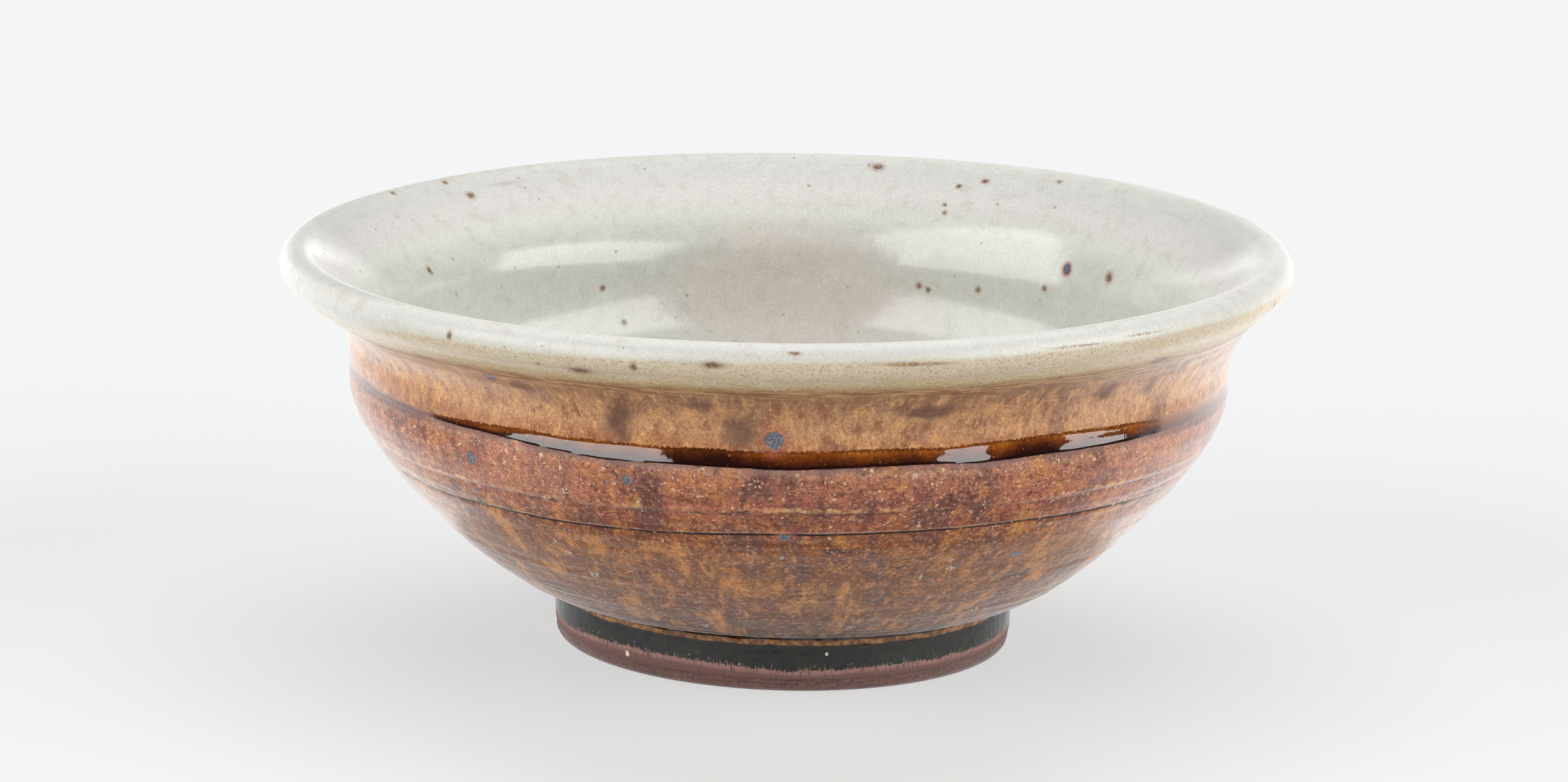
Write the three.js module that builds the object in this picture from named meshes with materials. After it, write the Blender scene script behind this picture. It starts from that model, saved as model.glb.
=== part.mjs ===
// A wheel-thrown stoneware bowl: one fired clay body with a turned foot ring, and the glaze coats fused to it.
// Sizes are millimetres. +Z is up, and the pot stands on Z = 0 with its axis on X = Y = 0.
// Every piece is a surface of revolution. The clay outline is drawn once, and each coat is an offset of it.
import * as THREE from "three";

const FACETS = 48; // round the pot

// Foot ring, turned from the base of the clay
const FOOT_RADIUS = 33.6; // outside, at the standing face
const FOOT_FLARE = 0.1; // how much wider the foot is at its top
const FOOT_HEIGHT = 8.4;
const FOOT_RING_WIDTH = 5.2; // from the outside of the ring to the inside
const FOOT_EDGE = 0.7; // softened outer and inner edges
const RECESS_DEPTH = 5.8; // under the base, at the ring
const RECESS_CROWN = 0.5; // the recess rises this much more at the axis
const RECESS_FILLET = 2.2;

// Everted lip, a round roll on a flared neck
const RIM_RADIUS = 74.0; // outermost clay
const RIM_HEIGHT = 59.0; // top of the clay
const LIP_OVERHANG = 9.3; // how far the rim stands out over the shoulder
const LIP_ROLL_RADIUS = 1.75;
const LIP_UNDERSIDE_ANGLE = 38; // degrees above level
const LIP_UNDERSIDE_REACH = 6.2;
const LIP_INSIDE_ANGLE = 34; // degrees below level, where the roll turns into the flare

// Wall, from the foot up to the shoulder
const SHOULDER_DROP = 18.4; // from the rim down to the shoulder
const WALL_LEDGE = 1.3; // how far the wall starts outside the foot
const WALL_LIFT = 1.2; // how far it starts above the foot
const WALL_RUN_OUT = 7.9; // reach of the nearly level start of the curve
const WALL_RISE = 9.3; // reach of the upright end of the curve, under the shoulder

// Groove turned above the shoulder, where the glaze pools
const GROOVE_WIDTH = 3.1;
const GROOVE_DEPTH = 1.3;
const NECK_SETBACK = 0.5; // how far the neck stands in from the shoulder
const NECK_RISE = 5.0; // reach of the upright start of the neck curve

// Inside of the bowl
const FLARE_REACH = 7.0;
const THROAT_THICKNESS = 4.1; // clay between the shoulder and the throat, where the flare meets the bowl
const THROAT_DROP = 15.5; // from the rim down to the throat
const THROAT_RISE = 5.5; // upright stretch of the flare's end
const BOWL_DROP = 17.0; // upright stretch under the throat
const BASE_THICKNESS = 6.3; // clay at the axis
const FLOOR_REACH = 38.0; // level stretch from the axis

// Glaze coats
const FUSED_CLEARANCE = 0.3; // drawn between a coat and what it is fused to
const LINER_COAT = 0.7;
const OUTER_COAT = 0.6; // on the neck and on the wall
const FOOT_COAT = 0.35;
const COAT_EDGE = 0.25; // thickness left at a coat's free edge
const COAT_EDGE_LENGTH = 1.6; // over which a coat thins out
const BARE_FOOT_HEIGHT = 2.7; // unglazed clay over the standing face
const LINER_EDGE_DROP = 7.8; // from the rim down to the liner's edge under the lip
const POOL_HOLLOW = 0.2; // sag of the pool's surface
const LINE_DROP = 9.5; // from the shoulder down to the incised line round the wall
const LINE_DEPTH = 0.25;
const LINE_WIDTH = 0.9;

const point = (r, z) => new THREE.Vector2(r, z);
const radians = THREE.MathUtils.degToRad;

// Points along a curve, without its first one, so that stretches join without doubled points.
function along(curve, steps) {
  return curve.getPoints(steps).slice(1);
}

// A curve from one point to another that leaves and arrives along the given directions.
function sweep(from, leave, to, arrive) {
  return new THREE.CubicBezierCurve(from, from.clone().add(leave), to.clone().sub(arrive), to);
}

// A round arc between two points that stands depth away from the straight line, to its left.
function hollow(from, to, depth) {
  const chord = to.clone().sub(from);
  const radius = (chord.lengthSq() / 4 + depth * depth) / (2 * depth);
  const left = point(-chord.y, chord.x).normalize();
  const middle = from.clone().add(to).multiplyScalar(0.5);
  const centre = middle.add(left.multiplyScalar(depth - radius));
  const start = Math.atan2(from.y - centre.y, from.x - centre.x);
  const end = Math.atan2(to.y - centre.y, to.x - centre.x);
  return new THREE.EllipseCurve(centre.x, centre.y, radius, radius, start, end, true);
}

// The unit normal of an outline at one of its points, to the right of its direction: out of the clay.
// The direction is that of the parabola through the point and its neighbours.
function normalAt(outline, i) {
  const k = THREE.MathUtils.clamp(i, 1, outline.length - 2);
  const before = outline[k].clone().sub(outline[k - 1]);
  const after = outline[k + 1].clone().sub(outline[k]);
  const [near, far] = [before.length(), after.length()];
  before.normalize();
  const bend = after.normalize().sub(before).multiplyScalar(2 / (near + far));
  const past = i < k ? -near : i > k ? far : 0;
  const direction = before.add(bend.multiplyScalar(near / 2 + past)).normalize();
  return point(direction.y, -direction.x);
}

// The outline moved out of the clay by a distance that may change from point to point.
function offset(outline, distance) {
  return outline.map((p, i) => p.clone().add(normalAt(outline, i).multiplyScalar(distance(i))));
}

// The point where an outline crosses a height, and the index of the point after it.
function crossing(outline, height) {
  const next = outline.findIndex((p) => p.y >= height);
  const [a, b] = [outline[next - 1], outline[next]];
  return { next, at: a.clone().lerp(b, (height - a.y) / (b.y - a.y)) };
}

// The clay's outline, in stretches drawn up the outside, over the lip and down the inside.
const footTop = point(FOOT_RADIUS + FOOT_FLARE, FOOT_HEIGHT);
const wallStart = footTop.clone().add(point(WALL_LEDGE, WALL_LIFT));
const shoulder = point(RIM_RADIUS - LIP_OVERHANG, RIM_HEIGHT - SHOULDER_DROP);
const neckStart = shoulder.clone().add(point(-NECK_SETBACK, GROOVE_WIDTH));
const rollCentre = point(RIM_RADIUS - LIP_ROLL_RADIUS, RIM_HEIGHT - LIP_ROLL_RADIUS);
const crown = point(0, RECESS_DEPTH + RECESS_CROWN);
const floorCentre = crown.clone().add(point(0, BASE_THICKNESS));

function footStretch() {
  const start = point(FOOT_RADIUS, FOOT_EDGE);
  const glazed = (BARE_FOOT_HEIGHT - FOOT_EDGE) / (FOOT_HEIGHT - FOOT_EDGE);
  return [start, start.clone().lerp(footTop, glazed), start.clone().lerp(footTop, (1 + glazed) / 2), footTop];
}

function wallStretch() {
  return sweep(wallStart, point(WALL_RUN_OUT, 0), shoulder, point(0, WALL_RISE)).getPoints(10);
}

function neckStretch() {
  const angle = radians(LIP_UNDERSIDE_ANGLE);
  const end = point(Math.sin(angle), -Math.cos(angle)).multiplyScalar(LIP_ROLL_RADIUS).add(rollCentre);
  const arrive = point(Math.cos(angle), Math.sin(angle)).multiplyScalar(LIP_UNDERSIDE_REACH);
  return sweep(neckStart, point(0, NECK_RISE), end, arrive).getPoints(5);
}

function lipStretch() {
  const from = radians(LIP_UNDERSIDE_ANGLE - 90);
  const to = radians(90 + LIP_INSIDE_ANGLE);
  const arc = new THREE.EllipseCurve(rollCentre.x, rollCentre.y, LIP_ROLL_RADIUS, LIP_ROLL_RADIUS, from, to, false);
  return along(arc, 7);
}

function insideStretch(crest) {
  const angle = radians(LIP_INSIDE_ANGLE);
  const leave = point(-Math.cos(angle), -Math.sin(angle)).multiplyScalar(FLARE_REACH);
  const throat = point(shoulder.x - THROAT_THICKNESS, RIM_HEIGHT - THROAT_DROP);
  return [
    ...along(sweep(crest, leave, throat, point(0, -THROAT_RISE)), 4),
    ...along(sweep(throat, point(0, -BOWL_DROP), floorCentre, point(-FLOOR_REACH, 0)), 9),
  ];
}

// Under the base: from the axis out to the foot ring, down its inner side and across the standing face.
function undersideStretch() {
  const inner = FOOT_RADIUS - FOOT_RING_WIDTH;
  const corner = point(inner - RECESS_FILLET, RECESS_DEPTH - RECESS_FILLET);
  const filletStart = point(corner.x, RECESS_DEPTH);
  const ceiling = new THREE.QuadraticBezierCurve(crown, point(corner.x / 2, crown.y), filletStart);
  const fillet = new THREE.EllipseCurve(corner.x, corner.y, RECESS_FILLET, RECESS_FILLET, Math.PI / 2, 0, true);
  return [
    crown,
    ...along(ceiling, 2),
    ...along(fillet, 3),
    point(inner, FOOT_EDGE),
    point(inner + FOOT_EDGE, 0),
    point(FOOT_RADIUS - FOOT_EDGE, 0),
  ];
}

const foot = footStretch();
const wall = wallStretch();
const groove = hollow(shoulder, neckStart, GROOVE_DEPTH);
const neck = neckStretch();
const lip = lipStretch();
const inside = insideStretch(lip[lip.length - 1]);

// Revolves a closed profile about the axis. It runs with the material on its left.
function revolve(profile) {
  const closed = profile[0].x === 0 ? profile : [...profile, profile[0]];
  return new THREE.LatheGeometry(closed, FACETS).rotateX(Math.PI / 2);
}

// A coat over an outline, as its inner and outer faces. The outer face is thinned towards a free edge.
function coat(outline, thickness, thinAtStart, thinAtEnd) {
  const run = [0];
  outline.slice(1).forEach((p, i) => run.push(run[i] + p.distanceTo(outline[i])));
  const whole = run[run.length - 1];
  const thinned = (distance) => COAT_EDGE + (thickness - COAT_EDGE) * Math.min(1, distance / COAT_EDGE_LENGTH);
  const atStart = (i) => (thinAtStart ? thinned(run[i]) : thickness);
  const atEnd = (i) => (thinAtEnd ? thinned(whole - run[i]) : thickness);
  return {
    inner: offset(outline, () => FUSED_CLEARANCE),
    outer: offset(outline, (i) => FUSED_CLEARANCE + Math.min(atStart(i), atEnd(i))),
  };
}

function ring({ inner, outer }) {
  return revolve([...inner.reverse(), ...outer]);
}

function stonewareBody() {
  return revolve([...undersideStretch(), ...foot, ...wall, ...along(groove, 4), ...neck.slice(1), ...lip, ...inside]);
}

// The liner runs from its free edge under the lip, over the roll and down to the middle of the floor.
function linerGlaze() {
  const edge = crossing(neck, RIM_HEIGHT - LINER_EDGE_DROP);
  const outline = [edge.at, ...neck.slice(edge.next), ...lip, ...inside];
  const faces = coat(outline, LINER_COAT, true, false);
  const last = outline.length - 1;
  faces.inner[last] = floorCentre.clone().add(point(0, FUSED_CLEARANCE));
  faces.outer[last] = floorCentre.clone().add(point(0, FUSED_CLEARANCE + LINER_COAT));
  return ring(faces);
}

// The neck's coat fills the stretch between the liner's edge and the pool.
function neckGlaze() {
  const edge = crossing(neck, RIM_HEIGHT - LINER_EDGE_DROP - FUSED_CLEARANCE);
  return ring(coat([...neck.slice(0, edge.next), edge.at], OUTER_COAT, false, true));
}

// The pool lies in the groove, between the neck's coat and the wall's.
function shoulderGlazePool() {
  const low = shoulder.clone().add(point(0, FUSED_CLEARANCE));
  const high = neckStart.clone().sub(point(0, FUSED_CLEARANCE));
  const bed = hollow(low, high, GROOVE_DEPTH - FUSED_CLEARANCE).getPoints(5);
  const proud = point(FUSED_CLEARANCE + OUTER_COAT, 0);
  const face = hollow(low.clone().add(proud), high.clone().add(proud), POOL_HOLLOW).getPoints(3);
  return ring({ inner: bed, outer: face });
}

// The wall's coat has the incised line in its outer face.
function wallGlaze() {
  const height = shoulder.y - LINE_DROP;
  const cut = [-0.5, 0, 0.5].map((side) => crossing(wall, height + side * LINE_WIDTH).at);
  const below = wall.filter((p) => p.y < height - LINE_WIDTH);
  const above = wall.filter((p) => p.y > height + LINE_WIDTH);
  const outline = [...below, ...cut, ...above];
  const faces = coat(outline, OUTER_COAT, false, false);
  const bottom = below.length + 1;
  faces.outer[bottom].sub(normalAt(outline, bottom).multiplyScalar(LINE_DEPTH));
  return ring(faces);
}

function footGlaze() {
  return ring(coat(foot.slice(1), FOOT_COAT, true, false));
}

function piece(name, geometry, color, roughness) {
  const mesh = new THREE.Mesh(geometry, new THREE.MeshStandardMaterial({ color, roughness, metalness: 0 }));
  mesh.name = name;
  return mesh;
}

const pot = new THREE.Group();
pot.add(
  piece("stoneware_body", stonewareBody(), 0x7a4f42, 0.85),
  piece("liner_glaze", linerGlaze(), 0xcfcabf, 0.22),
  piece("neck_glaze", neckGlaze(), 0xa06c46, 0.25),
  piece("shoulder_glaze_pool", shoulderGlazePool(), 0x3a1c0a, 0.08),
  piece("wall_glaze", wallGlaze(), 0x8e5c44, 0.3),
  piece("foot_glaze", footGlaze(), 0x23241f, 0.15),
);

export default pot;
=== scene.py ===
"""Looks for the stoneware bowl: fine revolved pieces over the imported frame, their glazes,
and the photograph's light and camera."""
import bpy
import math
import numpy as np
from mathutils import Matrix, Vector


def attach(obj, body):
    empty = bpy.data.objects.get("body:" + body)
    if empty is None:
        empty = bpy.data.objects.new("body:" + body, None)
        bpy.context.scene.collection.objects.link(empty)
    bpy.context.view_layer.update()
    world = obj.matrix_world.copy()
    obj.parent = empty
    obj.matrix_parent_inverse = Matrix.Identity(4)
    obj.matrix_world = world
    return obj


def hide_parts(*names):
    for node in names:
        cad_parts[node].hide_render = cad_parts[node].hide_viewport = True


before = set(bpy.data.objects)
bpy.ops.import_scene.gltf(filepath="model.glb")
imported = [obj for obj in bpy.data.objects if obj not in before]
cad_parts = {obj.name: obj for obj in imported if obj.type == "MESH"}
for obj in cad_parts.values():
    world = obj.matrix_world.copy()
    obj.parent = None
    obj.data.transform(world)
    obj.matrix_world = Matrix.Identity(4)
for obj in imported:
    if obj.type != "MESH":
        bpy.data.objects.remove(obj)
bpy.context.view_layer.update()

MM = 0.001
AROUND = 768  # facets round each fine piece
MEAN_RADIUS = 60  # lengths round the pot are measured at this radius
THETA = np.linspace(0, 2 * math.pi, AROUND, endpoint=False)  # 0 faces the camera, and it runs to the right
TURN = (np.degrees(THETA) + 180) % 360 - 180  # the same in degrees, from -180 to 180

# The clay's outline, with the values of part.mjs, in millimetres and degrees. A point is (radius, height).
FOOT_RADIUS = 33.6
FOOT_FLARE = 0.1
FOOT_HEIGHT = 8.4
FOOT_RING_WIDTH = 5.2
FOOT_EDGE = 0.7
RECESS_DEPTH = 5.8
RECESS_CROWN = 0.5
RECESS_FILLET = 2.2
WALL_START = (35.0, 9.6)
WALL_RUN_OUT = 7.9
SHOULDER = (64.7, 40.6)
WALL_RISE = 9.3
GROOVE_DEPTH = 1.3
NECK_START = (64.2, 43.7)
NECK_RISE = 5.0
RIM_RADIUS = 74.0
RIM_HEIGHT = 59.0
ROLL = 1.75  # radius of the rolled lip
UNDERSIDE_ANGLE = 38.0
UNDERSIDE_REACH = 6.2
INSIDE_ANGLE = 34.0
FLARE_REACH = 7.0
THROAT = (60.6, 43.5)
THROAT_RISE = 5.5
BOWL_DROP = 17.0
FLOOR_HEIGHT = 12.6
FLOOR_REACH = 38.0


def heading(degrees):
    """The unit vector at an angle above the radius."""
    return np.array([math.cos(math.radians(degrees)), math.sin(math.radians(degrees))])


def bezier(p0, leave, p3, arrive, n):
    """A curve that leaves p0 along one vector and arrives at p3 along the other."""
    p0, p3 = np.array(p0, float), np.array(p3, float)
    p1, p2 = p0 + leave, p3 - np.array(arrive)
    t = np.linspace(0, 1, n)[:, None]
    return (1 - t) ** 3 * p0 + 3 * t * (1 - t) ** 2 * p1 + 3 * t * t * (1 - t) * p2 + t ** 3 * p3


def arc(centre, radius, start, end, n):
    a = np.radians(np.linspace(start, end, n))
    return np.array(centre) + radius * np.stack([np.cos(a), np.sin(a)], 1)


def hollow(a, b, depth, n):
    """An arc from a to b that sinks by depth to the left of the way from a to b."""
    a, b = np.array(a, float), np.array(b, float)
    chord = b - a
    radius = (chord @ chord / 4 + depth * depth) / (2 * depth)
    left = np.array([-chord[1], chord[0]]) / np.linalg.norm(chord)
    centre = (a + b) / 2 + left * (depth - radius)
    start, end = (math.degrees(math.atan2(*(p - centre)[::-1])) for p in (a, b))
    return arc(centre, radius, start, end - 360 if end > start else end, n)


def normals(line):
    """The unit vectors at right angles to a line at each of its points, to the right of its way."""
    d = np.gradient(line, axis=0)
    d /= np.linalg.norm(d, axis=1, keepdims=True) + 1e-12
    return np.stack([d[:, 1], -d[:, 0]], 1)


def offset(line, by):
    return line + normals(line) * by


def lengths(line):
    """The distance of each point from the start of a line, along it."""
    return np.concatenate([[0], np.cumsum(np.linalg.norm(np.diff(line, axis=0), axis=1))])


def join(*lines):
    """One line from several, without the points that two of them share."""
    out = [np.asarray(lines[0], float)]
    for line in lines[1:]:
        line = np.asarray(line, float)
        out.append(line[1:] if np.linalg.norm(line[0] - out[-1][-1]) < 1e-6 else line)
    return np.concatenate(out)


def smooth(line, step, width):
    """Resamples a line evenly and rounds its corners over about width."""
    s = lengths(line)
    t = np.linspace(0, s[-1], int(round(s[-1] / step)) + 1)
    line = np.stack([np.interp(t, s, line[:, k]) for k in (0, 1)], 1)
    k = np.arange(-int(2 * width / step), int(2 * width / step) + 1)
    weights = np.exp(-0.5 * (k * step / (width / 2)) ** 2)
    weights /= weights.sum()
    pad = len(k) // 2
    padded = np.concatenate([2 * line[0] - line[pad:0:-1], line, 2 * line[-1] - line[-2:-pad - 2:-1]])
    return np.stack([np.convolve(padded[:, k], weights, "valid") for k in (0, 1)], 1)


roll_centre = np.array([RIM_RADIUS - ROLL, RIM_HEIGHT - ROLL])
clay_wall = bezier(WALL_START, (WALL_RUN_OUT, 0), SHOULDER, (0, WALL_RISE), 400)
clay_groove = hollow(SHOULDER, NECK_START, GROOVE_DEPTH, 40)
clay_neck = bezier(NECK_START, (0, NECK_RISE), roll_centre + ROLL * heading(UNDERSIDE_ANGLE - 90),
                   UNDERSIDE_REACH * heading(UNDERSIDE_ANGLE), 200)
clay_lip = arc(roll_centre, ROLL, UNDERSIDE_ANGLE - 90, 90 + INSIDE_ANGLE, 120)
clay_flare = bezier(clay_lip[-1], -FLARE_REACH * heading(INSIDE_ANGLE), THROAT, (0, -THROAT_RISE), 150)
clay_bowl = bezier(THROAT, (0, -BOWL_DROP), (0, FLOOR_HEIGHT), (-FLOOR_REACH, 0), 500)

# The finished surface: one line from the foot glaze's lower edge up the wall, over the lip and down to the
# axis. Every coat is a stretch of it.
COAT = 0.9  # how far the surface stands off the clay, outside
LINER = 1.0  # and inside
FOOT_FACE = [(33.96, 1.9), (34.08, 2.3), (34.16, 3.3), (34.22, 5.5), (34.26, 7.5)]
FOOT_BEAD = [(34.40, 7.95), (34.42, 8.2), (34.36, 8.45), (34.52, 8.62)]
WALL_FOOT = [(34.95, 8.72), (35.45, 8.78)]  # where the wall springs from the foot
WALL_FROM = 36.2  # the radius from which the wall's coat follows the clay
POOL_FACE = [(65.60, 40.66), (65.60, 44.3)]
NECK_FROM = 45.2  # the height from which the neck's coat follows the clay
LINE_STEP = 0.05
CORNER = 0.3

wall_face = offset(clay_wall, COAT)
neck_face = offset(clay_neck, COAT)
lip_face = offset(np.concatenate([clay_lip, clay_flare[1:], clay_bowl[1:]]), LINER)
lip_face[-1] = (0, FLOOR_HEIGHT + LINER)
finished = join(FOOT_FACE + FOOT_BEAD + WALL_FOOT, wall_face[wall_face[:, 0] > WALL_FROM][:-1], POOL_FACE,
                neck_face[neck_face[:, 1] > NECK_FROM], lip_face)
finished = smooth(finished, LINE_STEP, CORNER)
finished[-1, 0] = 0
finished_n = normals(finished)
finished_n[-1] = (0, 1)
along = lengths(finished)
CREST = int(np.argmax(finished[:, 1]))


def at_height(z):
    """Distance along the finished line where it first climbs through a height, outside."""
    return along[np.argmax(finished[:, 1] >= z)]


S_FOOT_TOP = at_height(8.6)
S_POOL_LOW = at_height(40.8)
S_POOL_HIGH = at_height(43.75)
S_NECK_LOW = at_height(44.3)
S_NECK = at_height(NECK_FROM)
S_CREST = along[CREST]
S_END = along[-1]


def traced(*points, rounding=2.5):
    """A line round the pot through (degrees, height) points, as distances along the finished line."""
    turns, heights = zip(*points)
    z = np.fft.rfft(np.interp(np.degrees(THETA), turns, heights, period=360))
    z = np.fft.irfft(z * np.exp(-0.5 * (np.arange(len(z)) * math.radians(rounding)) ** 2), AROUND)
    return np.interp(z, finished[:CREST, 1], along[:CREST])


def wave(waves, seed, amplitude):
    """A smooth wave round the pot, from a few numbers of whole waves."""
    rng = np.random.default_rng(seed)
    out = np.zeros(AROUND)
    for k in waves:
        out += rng.normal() / k ** 0.5 * np.cos(k * THETA + rng.uniform(0, 2 * math.pi))
    return amplitude * out / (np.abs(out).max() + 1e-9)


def field(shape, spacing, across, lengthways, seed):
    """Smooth noise of unit spread on a grid, with the sizes of its features across and along the rows."""
    rng = np.random.default_rng(seed)
    f = np.fft.rfft2(rng.normal(size=shape))
    u = np.fft.fftfreq(shape[0])[:, None] / spacing[0]
    v = np.fft.rfftfreq(shape[1])[None, :] / spacing[1]
    f *= np.exp(-(math.pi * 0.5) ** 2 * ((u * across) ** 2 + (v * lengthways) ** 2))
    out = np.fft.irfft2(f, shape)
    return out / (out.std() + 1e-12)


def hump(s, centre, width):
    """1 at the centre, and falling smoothly to 0 over about three widths on both sides."""
    return np.exp(-0.5 * ((s - centre) / width) ** 2)


def past(angle, softness):
    """0 before an angle round the pot and 1 past it, or the reverse where the softness is negative."""
    return 1 / (1 + np.exp((angle - TURN) / softness))


# The lines that the photograph shows, as (degrees, height) points: they aren't quite level on this pot.
line_s = traced((-180, 29.6), (-120, 28.9), (-75, 28.6), (-52, 28.8), (-40, 29.05), (-29, 29.1),
                (-18, 29.55), (-5, 30.15), (5, 30.5), (15, 30.65), (25, 30.9), (34, 31.05), (44, 30.85),
                (58, 30.5), (90, 30.2), (135, 30.0)) + wave([9, 13, 19], 12, 0.06)
ridge_s = traced((-180, 33.8), (-120, 32.8), (-60, 32.8), (-30, 33.2), (-24, 33.4), (-17, 33.9), (-10, 34.3),
                 (-2, 34.45), (20, 34.8), (45, 34.9), (90, 34.4)) + wave([7, 12, 17], 13, 0.12)
pool_low = traced((-180, 40.8), (-120, 40.9), (-80, 41.0), (-49, 41.1), (-36, 41.1), (-31, 40.8),
                  (-26, 40.35), (-21, 40.4), (-16, 40.7), (-8, 40.75), (-2, 40.6), (4, 40.9), (9, 41.2),
                  (14, 41.4), (20, 41.3), (29, 41.2), (36, 41.5), (44, 41.4), (50, 41.4), (57, 41.1),
                  (75, 41.0), (120, 40.9))
pool_low += wave([17, 23, 31, 47, 70, 95], 5, 0.09)
pool_high = traced((-180, 43.4), (-120, 43.0), (-80, 42.3), (-60, 41.9), (-50, 41.8), (-44, 42.2),
                   (-38, 42.7), (-30, 42.7), (-20, 42.95), (-10, 43.15), (0, 43.2), (9, 43.7), (20, 43.65),
                   (26, 44.0), (32, 44.25), (40, 44.15), (47, 43.8), (55, 43.4), (63, 43.1), (90, 43.0),
                   (120, 43.4))
pool_high += wave([15, 31, 43, 60, 85, 110], 6, 0.10)
liner_low = traced((-180, 52.0), (-120, 51.5), (-80, 50.8), (-55, 50.6), (-48, 51.5), (-41, 51.9),
                   (-30, 51.9), (-20, 52.1), (-10, 52.3), (0, 52.45), (10, 52.55), (20, 52.35), (31, 52.5),
                   (42, 52.35), (54, 52.4), (75, 52.2), (120, 52.4)) + wave([13, 19, 29], 8, 0.12)

# The hand-made unevenness, in millimetres off the finished line, on a grid that all the coats share so that
# their edges meet.
GRID = 0.25
SPACING = (GRID, 2 * math.pi * MEAN_RADIUS / AROUND)
s_rows = np.arange(0, S_END + GRID, GRID)
s_grid = s_rows[:, None]


def uneven(across, round_the_pot, seed):
    """Smooth noise on the shared grid, from the sizes of its features up the pot and round it."""
    return field((len(s_rows), AROUND), SPACING, across, round_the_pot, seed)


outside = 1 / (1 + np.exp(s_grid - S_CREST + 1.5))
calm = 1 - hump(s_grid, (S_POOL_LOW + S_POOL_HIGH) / 2, 1.5)  # the pool stays glassy
relief = 0.07 * uneven(30, 60, 21)  # broad swellings
relief += 0.035 * uneven(5, 30, 22) * calm  # sags
relief += 0.028 * uneven(1.1, 40, 23) * calm * outside  # turning marks
relief += 0.05 * uneven(5, 120, 24) * (1 - outside)  # throwing rings inside
relief += (0.003 + 0.009 * outside) * uneven(1.4, 1.4, 25) * calm  # orange peel

# The pool leans back, so that it mirrors the softboxes as bright windows. Past a window's end it leans less.
POOL_LEAN = 0.215  # back, in millimetres for each that it climbs
POOL_PROUD = 0.06  # at its lower edge
POOL_FLAT = 0.40  # below its upper edge it leans no further
EDGE_DROP = 0.40  # how far its lower edge sinks to lean less
EDGE_FADE = 3.5  # and the length of wall under it where that fades out
dull = past(-35.5, -1.2) + past(25.6, 0.3) * past(36.2, -0.5) + past(50.5, 1.2)  # where no window shows
falling = np.clip((S_POOL_HIGH - s_grid) / (S_POOL_HIGH - S_POOL_LOW), 0, 1)
relief -= EDGE_DROP * dull * falling * np.clip((s_grid - S_POOL_LOW) / EDGE_FADE + 1, 0, 1)
climbed = np.clip(s_grid - pool_low, 0, pool_high - pool_low - POOL_FLAT)
proud = POOL_PROUD * (s_grid > pool_low) * np.clip(1 - climbed, 0, 1)
relief += (proud - POOL_LEAN * climbed) * np.clip((S_NECK - s_grid) / (S_NECK - S_NECK_LOW), 0, 1)
# At both sides of the pot, from about 55 to 100 degrees, the pool has run out.
run_out = np.clip((np.abs(TURN - 2) - 50) / 6, 0, 1) * np.clip((108 - np.abs(TURN)) / 12, 0, 1)

# The ridge with the hollow under it, the burr over the incised line and the swelling over the liner's edge.
for middle, height, width in ((ridge_s, 0.10, 0.35), (ridge_s - 0.9, -0.06, 0.45), (line_s + 0.5, 0.05, 0.25),
                              (liner_low + 2.0, 0.10, 1.2)):
    relief += height * hump(s_grid, middle, width)
INCISED_DEPTH = 0.17
relief -= INCISED_DEPTH * hump(s_grid, line_s, 0.20) * (0.75 + 0.25 * np.tanh(2 * uneven(3, 9, 26)))
# Fingertip lines along the lip, from (distance past the crest, depth).
FINGERTIP_LINES = ((-2.6, 0.06), (-1.3, 0.08), (0.4, 0.09), (1.5, 0.08), (3.2, 0.05))
for at, depth in FINGERTIP_LINES:
    relief -= depth * hump(s_grid, S_CREST + at + wave([1, 2, 3], int(60 + 10 * at), 0.3), 0.22)
FOOT_FADE, AXIS_FADE = 6, 12
relief *= np.clip(s_grid / FOOT_FADE, 0, 1) * np.clip((S_END - s_grid) / AXIS_FADE, 0, 1) ** 2
BEAD_BELOW, BEAD_HEIGHT = 1.1, 0.06  # the lumpy bead, below the top of the foot
lumps = 0.8 + np.clip(uneven(30, 2.2, 27), -0.6, 2.5)
relief += BEAD_HEIGHT * lumps * hump(s_grid, S_FOOT_TOP - BEAD_BELOW, 0.22)


def revolved(r, z):
    """Points at radii and heights, each row of them carried round the axis."""
    return np.stack([r * np.sin(THETA), -r * np.cos(THETA), z + 0 * THETA], -1)


def place(s, proud=0.0):
    """Points of the finished surface with its unevenness, at distances s along it, moved out by proud."""
    j = np.broadcast_to(np.arange(AROUND), s.shape)
    k = np.clip(s / GRID, 0, len(s_rows) - 1.001)
    i = k.astype(int)
    out = proud + relief[i, j] * (1 - (k - i)) + relief[i + 1, j] * (k - i)
    r, z, out_r, out_z = (np.interp(s, along, column) for column in (*finished.T, *finished_n.T))
    return revolved(r + out_r * out, z + out_z * out)


# The thrown pot isn't quite true. On its way up it moves aside in three steps, each of (distance to the
# right, height where the step starts, height that it takes), and its rim isn't level.
WALL_STEP = (-0.54, 6, 20)
NECK_STEP = (0.38, 35, 7)
RIM_STEP = (-0.84, 46, 9)
RIM_SLOPE = 0.0171  # up to the right


def climb(z, start, run):
    """Goes smoothly from 0 to 1 as a height goes through a step."""
    t = np.clip((z - start) / run, 0, 1)
    return t * t * (3 - 2 * t)


def askew(points):
    """Moves points of the true form to where they are on this pot."""
    x, y, z = np.moveaxis(np.asarray(points, float), -1, 0)
    aside = sum(way * climb(z, start, run) for way, start, run in (WALL_STEP, NECK_STEP, RIM_STEP))
    return np.stack([x + aside, y, z + RIM_SLOPE * x * climb(z, *RIM_STEP[1:])], -1)


def between(first, last, rows):
    """Rows of values that go evenly from first to last."""
    t = np.linspace(0, 1, rows)[:, None]
    return (1 - t) * first + t * last


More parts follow.
